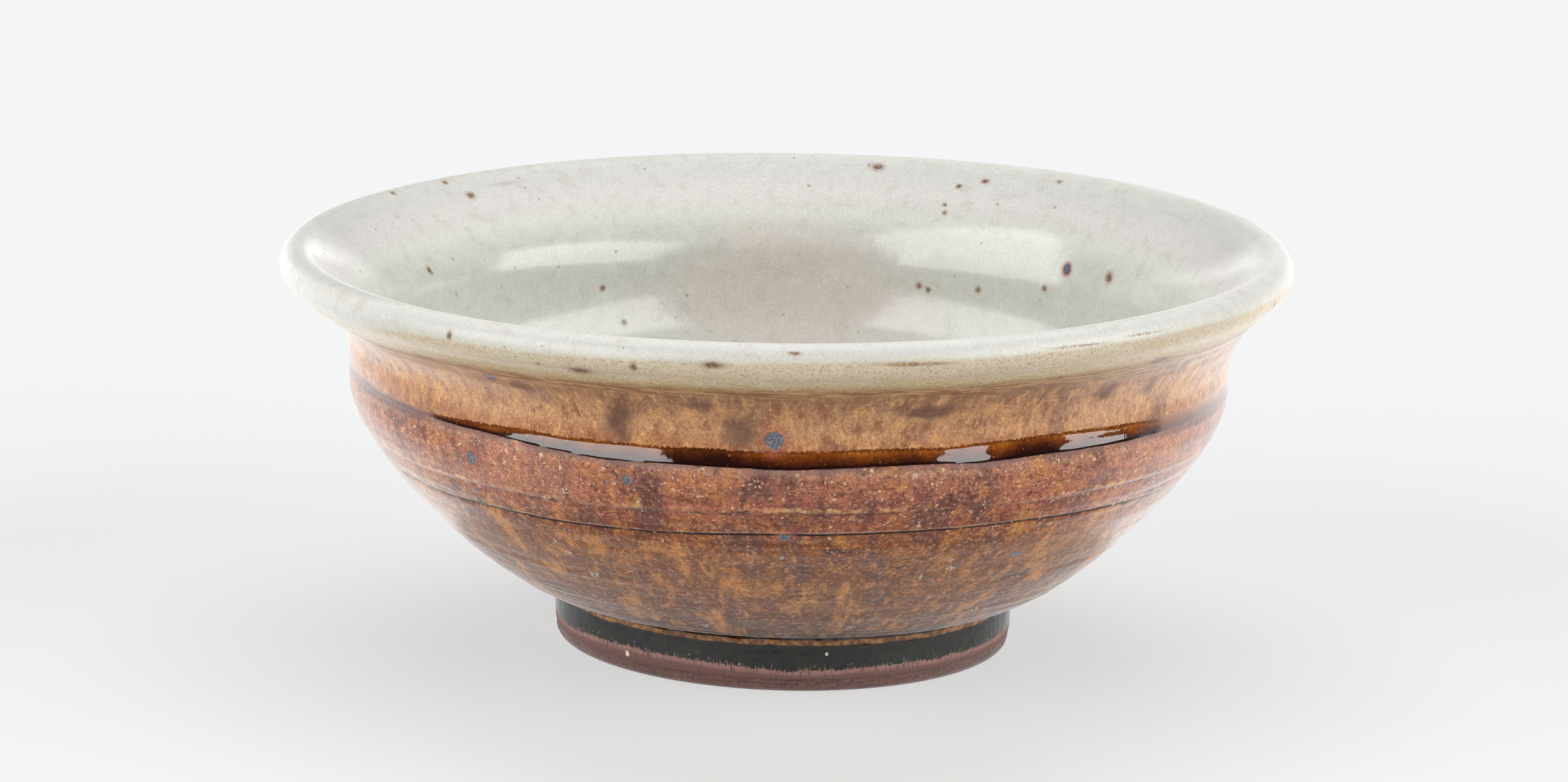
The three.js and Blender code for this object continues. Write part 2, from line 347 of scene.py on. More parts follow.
def srgb(r, g, b):
    shares = (r / 255, g / 255, b / 255)
    return tuple(c / 12.92 if c <= 0.04045 else ((c + 0.055) / 1.055) ** 2.4 for c in shares)


# Materials
class Nodes:
    """A node tree being built."""

    def __init__(self, tree):
        self.tree = tree

    def node(self, kind, *values, **settings):
        made = self.tree.nodes.new("ShaderNode" + kind)
        for key, value in settings.items():
            setattr(made, key, value)
        for socket, value in zip(made.inputs, values):
            self.feed(socket, value)
        return made

    def feed(self, socket, value):
        if isinstance(value, bpy.types.NodeSocket):
            self.tree.links.new(value, socket)
        elif value is not None:
            socket.default_value = value

    def times(self, vector, by):
        return self.node("VectorMath", vector, by, operation="MULTIPLY").outputs[0]

    def math(self, operation, a, b=None, c=None):
        return self.node("Math", a, b, c, operation=operation).outputs[0]

    def plus(self, a, b, share=1.0):
        """a, and a share of b added to it."""
        return self.math("MULTIPLY_ADD", b, share, a)

    def both(self, a, b):
        return self.math("MULTIPLY", a, b)

    def centred(self, noise, reach):
        """A noise made to run evenly on both sides of 0."""
        return self.both(self.math("SUBTRACT", noise, 0.5), reach)

    def off(self, value, centre=0.0):
        """How far a value is from a centre."""
        return self.math("ABSOLUTE", self.math("SUBTRACT", value, centre))

    def step(self, value, start, end, top=1.0, bottom=0.0):
        """Goes smoothly from bottom at start to top at end."""
        made = self.node("MapRange", value, start, end, bottom, top, interpolation_type="SMOOTHSTEP")
        return made.outputs[0]


class Glaze(Nodes):
    """A material being built. Its lengths are millimetres, its colours sRGB from 0 to 255."""

    def __init__(self, name, roughness, ior=1.5):
        self.material = bpy.data.materials.new(name)
        self.material.use_nodes = True
        super().__init__(self.material.node_tree)
        self.shader = self.tree.nodes["Principled BSDF"]
        self.shader.inputs["Roughness"].default_value = roughness
        self.shader.inputs["IOR"].default_value = ior
        self.mm = self.times(self.node("TexCoord").outputs["Object"], (1 / MM, 1 / MM, 1 / MM))
        x, y, self.z = self.node("SeparateXYZ", self.mm).outputs
        flat = self.node("CombineXYZ", x, y, 0.0).outputs[0]
        way = self.node("VectorMath", flat, operation="NORMALIZE").outputs[0]
        x, y, _ = self.node("SeparateXYZ", self.times(way, (MEAN_RADIUS,) * 3)).outputs
        self.unrolled = self.node("CombineXYZ", x, y, self.z).outputs[0]

    def sheen(self, weight, roughness=0.5):
        self.shader.inputs["Sheen Weight"].default_value = weight
        self.shader.inputs["Sheen Roughness"].default_value = roughness

    def given(self, name):
        return self.node("Attribute", attribute_name=name).outputs["Fac"]

    def upright(self, by):
        """Unrolled coordinates in which a form comes out taller as by gets smaller."""
        return self.times(self.unrolled, (1, 1, by))

    def noise(self, where, size, detail=2.0, roughness=0.55, bend=0.0):
        made = self.node("TexNoise", where)
        settings = {"Scale": 1 / size, "Detail": detail, "Roughness": roughness, "Distortion": bend}
        for key, value in settings.items():
            made.inputs[key].default_value = value
        return made.outputs["Fac"]

    def ragged(self, size, reach):
        """Coordinates pushed about by noise, for edges that aren't clean."""
        made = self.node("TexNoise", self.mm)
        made.inputs["Scale"].default_value = 1 / size
        push = self.node("VectorMath", made.outputs["Color"], (0.5,) * 3, operation="SUBTRACT").outputs[0]
        return self.node("VectorMath", self.mm, self.times(push, (reach,) * 3), operation="ADD").outputs[0]

    def specks(self, where, cell, share, radius):
        """Scattered dots of about a radius: 1 in a dot, 0 between them."""
        made = self.node("TexVoronoi", where)
        made.inputs["Scale"].default_value = 1 / cell
        pick, size, _ = self.node("SeparateColor", made.outputs["Color"]).outputs
        reach = self.both(self.math("ADD", size, 0.4), radius / cell)
        near = self.math("SUBTRACT", 1.0, self.math("DIVIDE", made.outputs["Distance"], reach))
        return self.both(self.step(near, 0.0, 0.45), self.math("GREATER_THAN", pick, 1 - share))

    def marks(self, where, spots):
        """How far a point is from the nearest mark, in marks. A mark is (point, half width, half height)."""
        nearest = None
        for (x, y, z), wide, high in spots:
            scale = (1 / wide, 1 / wide, 1 / high)
            shift = (-x / wide, -y / wide, -z / high)
            way = self.node("VectorMath", where, scale, shift, operation="MULTIPLY_ADD").outputs[0]
            far = self.node("VectorMath", way, operation="LENGTH").outputs["Value"]
            nearest = far if nearest is None else self.math("MINIMUM", nearest, far)
        return nearest

    def bands(self, value, *stops):
        """A colour that changes along a value, from (value, colour) stops in rising order."""
        start, end = stops[0][0], stops[-1][0]
        ramp = self.node("ValToRGB", self.node("MapRange", value, start, end).outputs[0])
        elements = ramp.color_ramp.elements
        elements[0].color, elements[1].color = ((*srgb(*stops[k][1]), 1) for k in (0, -1))
        for at, colour in stops[1:-1]:
            elements.new((at - start) / (end - start)).color = (*srgb(*colour), 1)
        return ramp.outputs["Color"]

    def mix(self, share, under, over, strength=1.0, blend="MIX"):
        if strength != 1.0:
            share = self.both(share, strength)
        made = self.node("Mix", data_type="RGBA", blend_type=blend)
        for k, value in ((0, share), (6, under), (7, over)):
            self.feed(made.inputs[k], (*srgb(*value), 1) if isinstance(value, tuple) else value)
        return made.outputs[2]

    def lay(self, under, value, start, end, over, strength=1.0):
        """Lays one colour over another where a value goes from start to end."""
        return self.mix(self.step(value, start, end), under, over, strength)

    def shade(self, colour, value, low, high):
        """Multiplies a colour by a factor that runs from low to high as a noise runs from 0.3 to 0.7."""
        factor = self.node("MapRange", value, 0.3, 0.7, low, high).outputs[0]
        return self.times(colour, self.node("CombineXYZ", factor, factor, factor).outputs[0])

    def done(self, colour, height=None, roughness=None):
        """Ends the material with its colour, its fine relief in millimetres and its roughness."""
        self.feed(self.shader.inputs["Base Color"], colour)
        if height is not None:
            bump = self.node("Bump", 1.0, MM)
            self.feed(bump.inputs["Height"], height)
            self.feed(self.shader.inputs["Normal"], bump.outputs[0])
        self.feed(self.shader.inputs["Roughness"], roughness)
        return self.material


def spot(turn, r, z, wide, high=None):
    """A mark of a half width and a half height, at an angle, a radius and a height."""
    a = math.radians(turn)
    return tuple(float(c) for c in askew((r * math.sin(a), -r * math.cos(a), z))), wide, high or wide


def outer_spots(*spots):
    """Marks on the outside of the pot, from (angle, height, half width) or the same and a half height."""
    at = [finished[np.argmax(finished[:, 1] >= z)] for _, z, *_ in spots]
    return [spot(turn, *point, *reach) for point, (turn, _, *reach) in zip(at, spots)]


def inner_spots(*spots):
    """Marks inside the pot or on the inner side of the lip, given in the same way."""
    at = [finished[CREST + np.argmax(finished[CREST:, 1] <= z)] for _, z, *_ in spots]
    return [spot(turn, *point, *reach) for point, (turn, _, *reach) in zip(at, spots)]


IRON_SPOTS = outer_spots(
    (-1.5, 44.7, 1.4), (-42.8, 36.8, 0.95, 1.15), (-19.5, 37.6, 0.85), (-22.5, 36.9, 0.35),
    (0.5, 29.9, 0.9, 0.5), (35.5, 24.9, 1.2, 0.6), (-44.5, 31.4, 0.8, 0.3), (-37, 50.5, 1.0),
    (17.2, 14.2, 0.7, 0.3), (1.8, 9.6, 1.0, 0.3), (96, 36.0, 0.9), (128, 41.5, 1.1), (151, 26.0, 0.7),
    (-117, 33.0, 1.1), (-153, 46.5, 1.3), (-170, 20.0, 0.8), (-88, 27.0, 0.6))
DRAGGED_STREAKS = outer_spots(
    (7.5, 27.6, 3.4, 0.28), (17, 24.4, 1.6, 0.25), (15.5, 17.7, 1.6, 0.25), (40, 20.5, 3.0, 0.25),
    (-35.2, 29.1, 1.8, 0.2), (-5, 34.2, 1.4, 0.3), (-31, 32.8, 1.2, 0.3), (-44.5, 29.4, 1.4, 0.25),
    (100, 25, 2.5, 0.25), (170, 22, 3.0, 0.25), (-110, 18, 2.5, 0.25), (-150, 31, 2.0, 0.2))
NECK_SMUDGES = outer_spots(
    (-20.8, 46.1, 2.4, 4.0), (-5.5, 45.8, 3.2, 3.4), (-10, 49.8, 2.4, 1.5), (17.2, 49.1, 6.0, 1.3),
    (41.8, 49.4, 2.2, 1.8), (49.8, 48.9, 1.3, 2.6), (-33.2, 49.8, 2.6, 1.2), (84, 47, 3, 3), (111, 48, 4, 2),
    (147, 46, 3, 3.5), (-95, 48, 4, 2), (-128, 46, 3, 3.5))
BROWN_SPOTS = inner_spots(
    (-133.2, 57.5, 0.75, 0.5), (-130.8, 59.6, 0.5, 0.4), (-120.8, 59.7, 0.5, 0.35), (-115, 48.9, 0.55, 0.7),
    (168.2, 58.7, 0.9, 0.5), (152.8, 57.9, 0.6, 0.4), (156.2, 56.9, 0.5, 0.35), (142.2, 59, 0.5, 0.3),
    (157.3, 54.2, 0.35), (157, 53.2, 0.4), (125.5, 48.5, 0.8, 0.85), (138.2, 44.8, 0.5), (150.2, 42.8, 0.5),
    (160, 42.3, 0.5), (158.5, 41.8, 0.45), (-153.5, 35.8, 0.45), (-150, 41.3, 0.45), (40, 47, 0.7),
    (12, 30, 0.6), (-48, 40, 0.8), (-85, 33, 0.5), (75, 38, 0.6), (102.5, 26.2, 0.5))
BROWN_SPOTS += outer_spots(
    (-22.2, 54.9, 1.7, 0.6), (-7.3, 57.2, 1.5, 0.45), (47.5, 53.1, 2.3, 0.75), (1.2, 59.0, 0.8, 0.22),
    (-15.8, 56.3, 0.5, 0.6), (-38.2, 57.6, 0.45, 0.6), (-27, 55.2, 0.35), (70, 56.5, 0.5),
    (104, 55.0, 1.2, 0.5), (140, 57.0, 0.6), (-100, 56.0, 0.8, 0.5), (-160, 55.0, 1.4, 0.5))
LIP_STREAKS = outer_spots(
    (14, 57.35, 6.5, 0.38), (33, 58.1, 6.0, 0.22), (42, 58.4, 4.0, 0.22), (120, 57.9, 7.0, 0.4),
    (-140, 58.2, 7, 0.4))


def iron(g, colour):
    """Iron that bled through: a blue-grey heart in a rust halo."""
    far = g.marks(g.ragged(0.7, 0.8), IRON_SPOTS)
    speck = g.noise(g.mm, 0.28, 1.0)
    colour = g.lay(colour, far, 2.2, 1.0, g.lay((140, 72, 58), speck, 0.4, 0.6, (184, 116, 94)), 0.65)
    return g.lay(colour, far, 1.1, 0.8, g.lay((88, 90, 98), speck, 0.42, 0.60, (124, 125, 131)))


def wall_colour(g, grain, fleck, mottle, cloud):
    """Rust over brown, granular, with grey-purple clouds, gold between them and dark dragged streaks."""
    band = g.noise(g.times(g.mm, (0.10, 0.10, 1)), 1.2, 2.0)
    blot = g.noise(g.mm, 0.8, 2.0, 0.6)
    streak = g.noise(g.times(g.mm, (1, 1, 6)), 1.9, 2.0, 0.6)
    # Painted sheen: pale pink patches at the front's left and right stand in for the veil of reflection
    # there; a third lies at the back.
    pale = g.marks(g.ragged(5.0, 6.0), outer_spots((-37, 36, 15, 6), (52, 37, 14, 6), (160, 35, 14, 6)))
    # Its lowest stops, where the wall meets the foot, are near black: painted shade in that crease.
    colour = g.bands(g.z, (8.6, (40, 26, 20)), (9.5, (54, 34, 24)), (10.6, (74, 46, 30)), (13, (96, 59, 35)),
                     (17, (118, 74, 42)), (22, (126, 80, 46)), (27, (134, 84, 52)), (30.2, (132, 80, 54)),
                     (31, (142, 84, 65)), (35.5, (152, 92, 74)), (39, (158, 101, 82)),
                     (40.0, (168, 122, 102)), (40.6, (156, 112, 94)), (41.5, (126, 86, 72)))
    colour = g.shade(colour, band, 0.86, 1.14)
    colour = g.lay(colour, cloud, 0.51, 0.62, (100, 71, 68), 0.75)
    gold = g.both(g.step(cloud, 0.47, 0.35), g.step(g.z, 34.0, 29.0, 0.80, 0.35))
    colour = g.mix(gold, colour, (184, 124, 60))
    colour = g.lay(colour, mottle, 0.53, 0.66, (190, 124, 62), 0.60)
    colour = g.lay(colour, mottle, 0.46, 0.35, (98, 52, 45), 0.55)
    colour = g.lay(colour, blot, 0.54, 0.68, (200, 138, 112), 0.42)
    colour = g.lay(colour, blot, 0.46, 0.32, (84, 54, 54), 0.50)
    colour = g.lay(colour, pale, 1.4, 0.3, (208, 158, 138), 0.24)
    colour = g.shade(colour, grain, 0.64, 1.36)
    colour = g.lay(colour, fleck, 0.58, 0.72, (214, 164, 116), 0.40)
    colour = g.lay(colour, streak, 0.62, 0.74, (58, 42, 42), 0.65)
    return g.lay(colour, g.marks(g.ragged(0.9, 2.0), DRAGGED_STREAKS), 1.2, 0.6, (46, 44, 52), 0.8)


def wall_lines(g, colour, fleck, mottle):
    """The dark, broken incised line with a pale burr over it, and the pale ridge with a painted shade in the
    crease under it.
    """
    line, ridge = g.given("line"), g.given("ridge")
    broken = g.noise(g.mm, 2.2, 2.0)
    burr = g.both(g.step(g.off(line, 0.40), 0.32, 0.08), g.step(broken, 0.42, 0.62))
    incised = g.both(g.step(g.off(line), 0.32, 0.14), g.step(broken, 0.24, 0.42))
    shown = g.both(g.step(mottle, 0.44, 0.60), g.step(g.noise(g.unrolled, 24.0, 1.0), 0.40, 0.60))
    crest = g.both(g.step(g.off(g.plus(ridge, g.centred(fleck, 1.6))), 0.6, 0.1), shown)
    # Painted shade: the crease just under the ridge is darkened.
    crease = g.both(g.step(g.off(ridge, -0.8), 0.40, 0.1), g.step(broken, 0.46, 0.60))
    colour = g.mix(burr, colour, (186, 142, 102), 0.65)
    colour = g.mix(incised, colour, (36, 27, 25), 0.92)
    colour = g.mix(crest, colour, (210, 164, 112), 0.75)
    return g.mix(crease, colour, (80, 54, 48), 0.55)


def wall_glaze():
    """The wall's rust and amber, with its lines, pale pits and chips, and the shadow under the pool."""
    g = Glaze("wall_rust_glaze", 0.3, 1.42)
    g.sheen(0.5, 0.22)
    grain = g.noise(g.mm, 0.36, 2.0, 0.6)
    fleck = g.noise(g.mm, 0.55, 2.0, 0.6)
    mottle = g.noise(g.upright(0.8), 2.0, 3.0, 0.65)
    cloud = g.noise(g.upright(0.75), 6.0, 4.0, 0.6, 0.3)
    colour = wall_lines(g, wall_colour(g, grain, fleck, mottle, cloud), fleck, mottle)
    rough = g.ragged(0.6, 0.7)
    crowd = g.step(g.plus(g.noise(g.mm, 4.0, 2.0), g.z, 0.02), 1.04, 1.26)  # more pits higher up
    small_pits = g.specks(g.times(rough, (1, 1, 1.4)), 0.7, 0.8, 0.19)
    pits = g.both(g.math("MAXIMUM", g.specks(rough, 1.4, 0.7, 0.30), small_pits), crowd)
    chips = g.specks(g.ragged(0.5, 0.9), 5.0, 0.55, 0.75)
    colour = g.mix(pits, colour, (224, 190, 154), 0.70)
    colour = g.mix(g.specks(g.times(rough, (1, 1, 1.2)), 0.85, 0.5, 0.18), colour, (206, 150, 92), 0.55)
    colour = g.mix(chips, colour, g.lay((70, 52, 50), grain, 0.42, 0.56, (212, 186, 162)), 0.75)
    colour = iron(g, colour)
    # Painted shade: a near-black line along the wall's lowest edge, in the crease over the foot.
    colour = g.lay(colour, g.given("low"), 1.7, 0.4, (36, 24, 20), 0.9)
    high, thin = g.given("high"), g.given("thin")
    # Painted shade and reflection under the pool's lower edge: a soft grey-purple band, a dark shadow line
    # that is fainter where the pool has run out, and there a grey-purple band in the shoulder's crease.
    mauve = g.both(g.step(g.plus(high, mottle, 1.2), 1.7, 0.9), g.step(cloud, 0.40, 0.52))
    shadow = g.both(g.step(g.plus(high, mottle, 0.5), 0.42, 0.20), g.step(thin, 1.0, 0.2, 0.85, 0.15))
    colour = g.mix(mauve, colour, (134, 104, 98), 0.7)
    colour = g.mix(shadow, colour, (48, 30, 26))
    colour = g.mix(g.both(g.step(high, 1.6, 0.4), thin), colour, (116, 88, 86), 0.7)
    height = g.both(g.noise(g.mm, 0.9, 3.0, 0.6), 0.06)
    return g.done(colour, g.plus(height, pits, -0.07))


def neck_colour(g):
    """Honey amber, combed down the pot, with grey-purple smudges."""
    grain = g.noise(g.mm, 0.34, 2.0, 0.6)
    comb = g.noise(g.upright(0.5), 0.5, 2.0, 0.6)
    mottle = g.noise(g.upright(0.6), 1.6, 3.0, 0.6)
    cloud = g.noise(g.upright(0.6), 6.5, 2.0, 0.5)
    # Painted sheen: pale patches at the front's left and right stand in for the veil of reflection there; a
    # third lies at the back.
    pale = g.marks(g.ragged(5.0, 6.0), outer_spots((-42, 47, 13, 6), (44, 47, 12, 6), (-150, 47, 14, 6)))
    colour = g.bands(g.z, (43.5, (166, 112, 74)), (45.5, (187, 139, 100)), (48.5, (179, 133, 98)),
                     (50.6, (158, 115, 83)), (52.6, (130, 94, 62)))
    colour = g.lay(colour, cloud, 0.52, 0.68, (116, 80, 68), 0.65)
    colour = g.lay(colour, mottle, 0.50, 0.66, (210, 156, 98), 0.60)
    colour = g.lay(colour, mottle, 0.46, 0.34, (130, 74, 52), 0.55)
    colour = g.lay(colour, pale, 1.4, 0.3, (222, 184, 158), 0.22)
    colour = g.shade(colour, grain, 0.74, 1.26)
    colour = g.lay(colour, comb, 0.56, 0.70, (232, 188, 138), 0.38)
    colour = g.lay(colour, comb, 0.44, 0.32, (116, 70, 54), 0.38)
    return g.lay(colour, g.marks(g.ragged(2.5, 2.6), NECK_SMUDGES), 1.35, 0.3, (96, 68, 62), 0.75)


def lap_line(g):
    """Fine lines that run round the pot where the pale coat thins out over the amber one."""
    return g.noise(g.times(g.mm, (0.25, 0.25, 4)), 1.3, 3.0, 0.6)


def neck_glaze():
    """The neck's amber, darker and streaked in lines just below the liner."""
    g = Glaze("neck_amber_glaze", 0.3, 1.5)
    g.sheen(0.4, 0.22)
    line = lap_line(g)
    below = g.plus(g.plus(g.given("high"), line, 3.0), g.noise(g.mm, 7.0, 2.0), 2.6)
    streaked = g.lay((130, 88, 56), line, 0.44, 0.56, (184, 144, 98))
    colour = g.lay(neck_colour(g), below, 5.6, 2.8, streaked, 0.82)
    return g.done(iron(g, colour), g.both(g.noise(g.mm, 1.1, 3.0, 0.6), 0.05))


def pool_glaze():
    """Glaze thick enough to look like dark amber glass, nearly black at its lower edge."""
    g = Glaze("pool_amber_glass", 0.05, 1.64)
    low, high = g.given("low"), g.given("high")
    grain = g.noise(g.mm, 0.45, 2.0, 0.6)
    depth = g.noise(g.unrolled, 6.0, 2.0)
    deep = g.marks(g.ragged(2.0, 2.0), outer_spots((-10, 41.8, 7, 4), (31, 41.6, 4.5, 3)))
    up = g.math("DIVIDE", low, g.math("ADD", low, high))
    up = g.plus(g.plus(up, g.centred(depth, 1.3)), g.centred(grain, 0.6))
    up = g.math("SUBTRACT", up, g.step(deep, 1.2, 0.3, 0.40))
    colour = g.bands(up, (0.0, (40, 17, 13)), (0.30, (68, 31, 17)), (0.60, (105, 53, 20)),
                     (0.85, (136, 74, 26)), (1.05, (158, 94, 38)))
    colour = g.mix(g.specks(g.mm, 0.8, 0.5, 0.16), colour, (176, 116, 44), 0.5)
    # Painted shade: a near-black line along the pool's lower edge, at the fold over the wall.
    colour = g.lay(colour, g.plus(low, g.noise(g.unrolled, 1.5, 2.0), -0.5), 0.22, -0.02, (20, 10, 9), 0.7)
    lap = g.plus(high, g.centred(g.noise(g.mm, 0.42, 2.0), 1.4))
    rim = g.both(g.step(lap, 0.60, 0.30), g.step(depth, 0.40, 0.50))
    colour = g.mix(rim, colour, (58, 26, 12), 0.7)
    colour = g.lay(colour, lap, 0.16, -0.06, neck_colour(g))
    thin = g.step(g.plus(g.given("thin"), grain, 0.3), 0.35, 0.75)
    colour = g.mix(thin, colour, g.lay((112, 84, 80), up, 0.2, 1.0, (150, 104, 78)))
    height = g.plus(g.both(g.noise(g.mm, 2.2, 2.0, 0.5), 0.03), g.noise(g.mm, 0.4, 1.0), 0.004)
    rough = g.math("MAXIMUM", g.step(lap, 0.16, -0.1, 0.25), g.both(thin, 0.25))
    return g.done(iron(g, colour), height, g.math("ADD", rough, 0.05))


def foot_glaze():
    """Black-green glass with a pale ragged fringe where it ran thin over the clay, and an amber bead."""
    g = Glaze("foot_black_glaze", 0.12, 1.5)
    colour = g.lay((14, 16, 18), g.noise(g.mm, 1.2, 3.0), 0.35, 0.65, (34, 32, 24))
    dip = g.step(g.marks(g.mm, [spot(6, 34, 4, 7.5)]), 1.2, 0.1, 0.35)
    lift = g.step(g.marks(g.mm, [spot(-36, 34, 4, 15)]), 1.2, 0.3, 0.45)
    low = g.math("SUBTRACT", g.plus(g.given("low"), dip), lift)
    tick = g.step(g.noise(g.upright(0.12), 0.24, 1.0), 0.50, 0.78)
    wide = g.noise(g.unrolled, 6.0, 2.0)
    ragged_by = g.plus(g.plus(g.noise(g.upright(0.6), 0.6, 4.0, 0.7), wide, 0.9), tick, 0.6)
    edge = g.math("SUBTRACT", low, g.math("ADD", ragged_by, 0.6))
    fringe = g.bands(low, (0.0, (98, 64, 58)), (0.7, (108, 73, 66)), (1.05, (136, 98, 90)),
                     (1.5, (142, 106, 96)), (2.0, (134, 112, 96)), (3.0, (132, 128, 104)))
    fringe = g.lay(fringe, g.noise(g.upright(0.3), 0.4, 2.0), 0.50, 0.64, (86, 58, 52), 0.8)
    dots = g.both(g.specks(g.times(g.ragged(0.4, 0.3), (1, 1, 0.7)), 0.55, 0.6, 0.16), g.step(edge, 1.3, 0.3))
    colour = g.mix(dots, colour, (140, 124, 106), 0.8)
    colour = g.lay(colour, edge, 0.14, -0.12, fringe)
    bead = g.math("SUBTRACT", g.plus(g.given("high"), g.centred(wide, 0.8)), 0.3)
    amber = g.lay((104, 66, 36), g.noise(g.mm, 1.0, 2.0), 0.40, 0.66, (166, 116, 64))
    colour = g.lay(colour, bead, 1.46, 1.12, amber, 0.95)
    # Painted shade: a dark brown line at the top of the foot glaze, in the crease where the wall springs from
    # the foot.
    colour = g.lay(colour, bead, 0.62, 0.42, (52, 34, 22), 0.95)
    colour = g.mix(g.specks(g.mm, 1.5, 0.4, 0.16), colour, (120, 112, 92), 0.6)
    chip = g.marks(g.ragged(0.5, 0.5), [spot(-41.3, 34.1, 2.9, 0.35, 0.5), spot(11, 34.2, 5.8, 0.22)])
    colour = g.lay(colour, chip, 1.1, 0.8, (216, 198, 176), 0.9)
    return g.done(colour, g.both(g.noise(g.mm, 1.6, 3.0), 0.04), g.step(edge, 0.06, -0.1, 0.6, 0.12))


def liner_glaze():
    """Pale grey-green, faintly mottled and speckled, tan on the outside of the lip and olive at its edge."""
    g = Glaze("liner_pale_glaze", 0.15, 1.53)
    low = g.given("low")
    grain = g.noise(g.mm, 0.4, 2.0, 0.6)
    mottle = g.noise(g.mm, 2.4, 3.0, 0.6)
    warm = g.marks(g.ragged(14.0, 16.0), inner_spots((180, 40, 26, 12), (30, 33, 24, 14)))
    inside = g.lay((215, 216, 207), warm, 1.2, 0.4, (224, 214, 206))
    # Painted light and shade: lighter and darker rings by depth inside, standing in for how the light falls
    # in the bowl.
    painted_light_by_depth = g.bands(low, (24.2, (242, 242, 243)), (26.5, (231, 231, 231)), (29, (226, 226, 226)),
                   (31, (219, 219, 219)), (35, (223, 223, 223)), (39, (231, 231, 231)),
                   (43.5, (243, 243, 243)))
    inside = g.mix(1.0, inside, painted_light_by_depth, blend="MULTIPLY")
    # The paler stop at 11.5, on the crest, is a painted highlight along the top of the lip.
    lip = g.bands(low, (0, (146, 108, 64)), (1.0, (168, 134, 88)), (2.4, (187, 162, 122)),
                  (4.2, (197, 179, 150)), (7.1, (192, 177, 152)), (7.6, (198, 194, 182)),
                  (9.0, (199, 198, 193)), (11.5, (215, 213, 207)), (13.0, (199, 198, 192)),
                  (16.0, (198, 197, 193)), (20.0, (206, 202, 198)), (22.5, (205, 202, 198)))
    colour = g.lay(lip, low, 21.5, 24.5, inside)
    colour = g.lay(colour, mottle, 0.52, 0.68, (214, 214, 206), 0.20)
    colour = g.lay(colour, mottle, 0.46, 0.34, (166, 160, 144), 0.20)
    colour = g.shade(colour, grain, 0.92, 1.08)
    tan = g.step(low, 7.8, 7.0)
    colour = g.mix(g.both(tan, g.step(grain, 0.50, 0.66)), colour, (206, 194, 172), 0.42)
    colour = g.mix(g.both(tan, g.step(grain, 0.46, 0.32)), colour, (146, 118, 90), 0.42)
    line = lap_line(g)
    olive = g.lay((136, 97, 52), line, 0.44, 0.56, (190, 158, 110))
    colour = g.lay(colour, g.plus(low, line, 3.0), 3.4, 1.4, olive, 0.66)
    streaks = g.marks(g.ragged(0.5, 0.5), LIP_STREAKS)
    colour = g.mix(g.both(g.step(streaks, 1.2, 0.2), g.step(grain, 0.35, 0.50)), colour, (124, 94, 50), 0.85)
    small = g.specks(g.ragged(0.5, 0.4), 3.0, 0.6, 0.28)
    colour = g.mix(small, colour, (132, 116, 98), 0.55)
    colour = g.mix(g.specks(g.mm, 2.2, 0.4, 0.22), colour, (222, 220, 212), 0.45)
    far = g.marks(g.ragged(0.5, 0.45), BROWN_SPOTS)
    brown = g.lay((82, 60, 48), g.noise(g.mm, 0.5, 1.0), 0.4, 0.6, (140, 104, 80))
    colour = g.lay(colour, far, 2.0, 0.8, (156, 130, 108), 0.6)
    colour = g.lay(colour, far, 1.15, 0.5, brown, 0.80)
    big = g.marks(g.ragged(0.5, 0.4), inner_spots((134.5, 48.2, 0.95, 1.1)))
    colour = g.lay(colour, big, 1.5, 0.9, (170, 110, 84), 0.8)
    colour = g.lay(colour, big, 0.95, 0.7, (74, 70, 92))
    height = g.plus(g.both(g.noise(g.mm, 1.8, 2.0, 0.5), 0.025), small, -0.04)
    return g.done(colour, height, g.step(low, 17.0, 12.0, 0.38, 0.17))


def bare_clay():
    """Red-brown stoneware, combed by the turning tool and left unglazed."""
    g = Glaze("bare_clay", 0.75)
    g.sheen(0.4)
    grain = g.noise(g.mm, 0.5, 4.0, 0.65)
    combed = g.noise(g.times(g.mm, (0.12, 0.12, 3)), 1.0, 3.0, 0.65)
    colour = g.lay((74, 44, 39), grain, 0.35, 0.65, (108, 68, 60))
    colour = g.lay(colour, combed, 0.48, 0.64, (58, 35, 31), 0.7)
    colour = g.mix(g.specks(g.mm, 1.2, 0.4, 0.22), colour, (46, 32, 28), 0.7)
    colour = g.mix(g.specks(g.mm, 2.0, 0.4, 0.26), colour, (150, 112, 90), 0.5)
    return g.done(colour, g.plus(g.both(grain, 0.08), combed, 0.10))


# Pieces
SHARP = math.radians(50)  # a corner sharper than this stays sharp in the shading
COAT_BACK = 0.75  # a coat's inner face lies this far under its surface
LINER_BACK = 0.85


def linked(name, data):
    made = bpy.data.objects.new(name, data)
    bpy.context.scene.collection.objects.link(made)
    return made


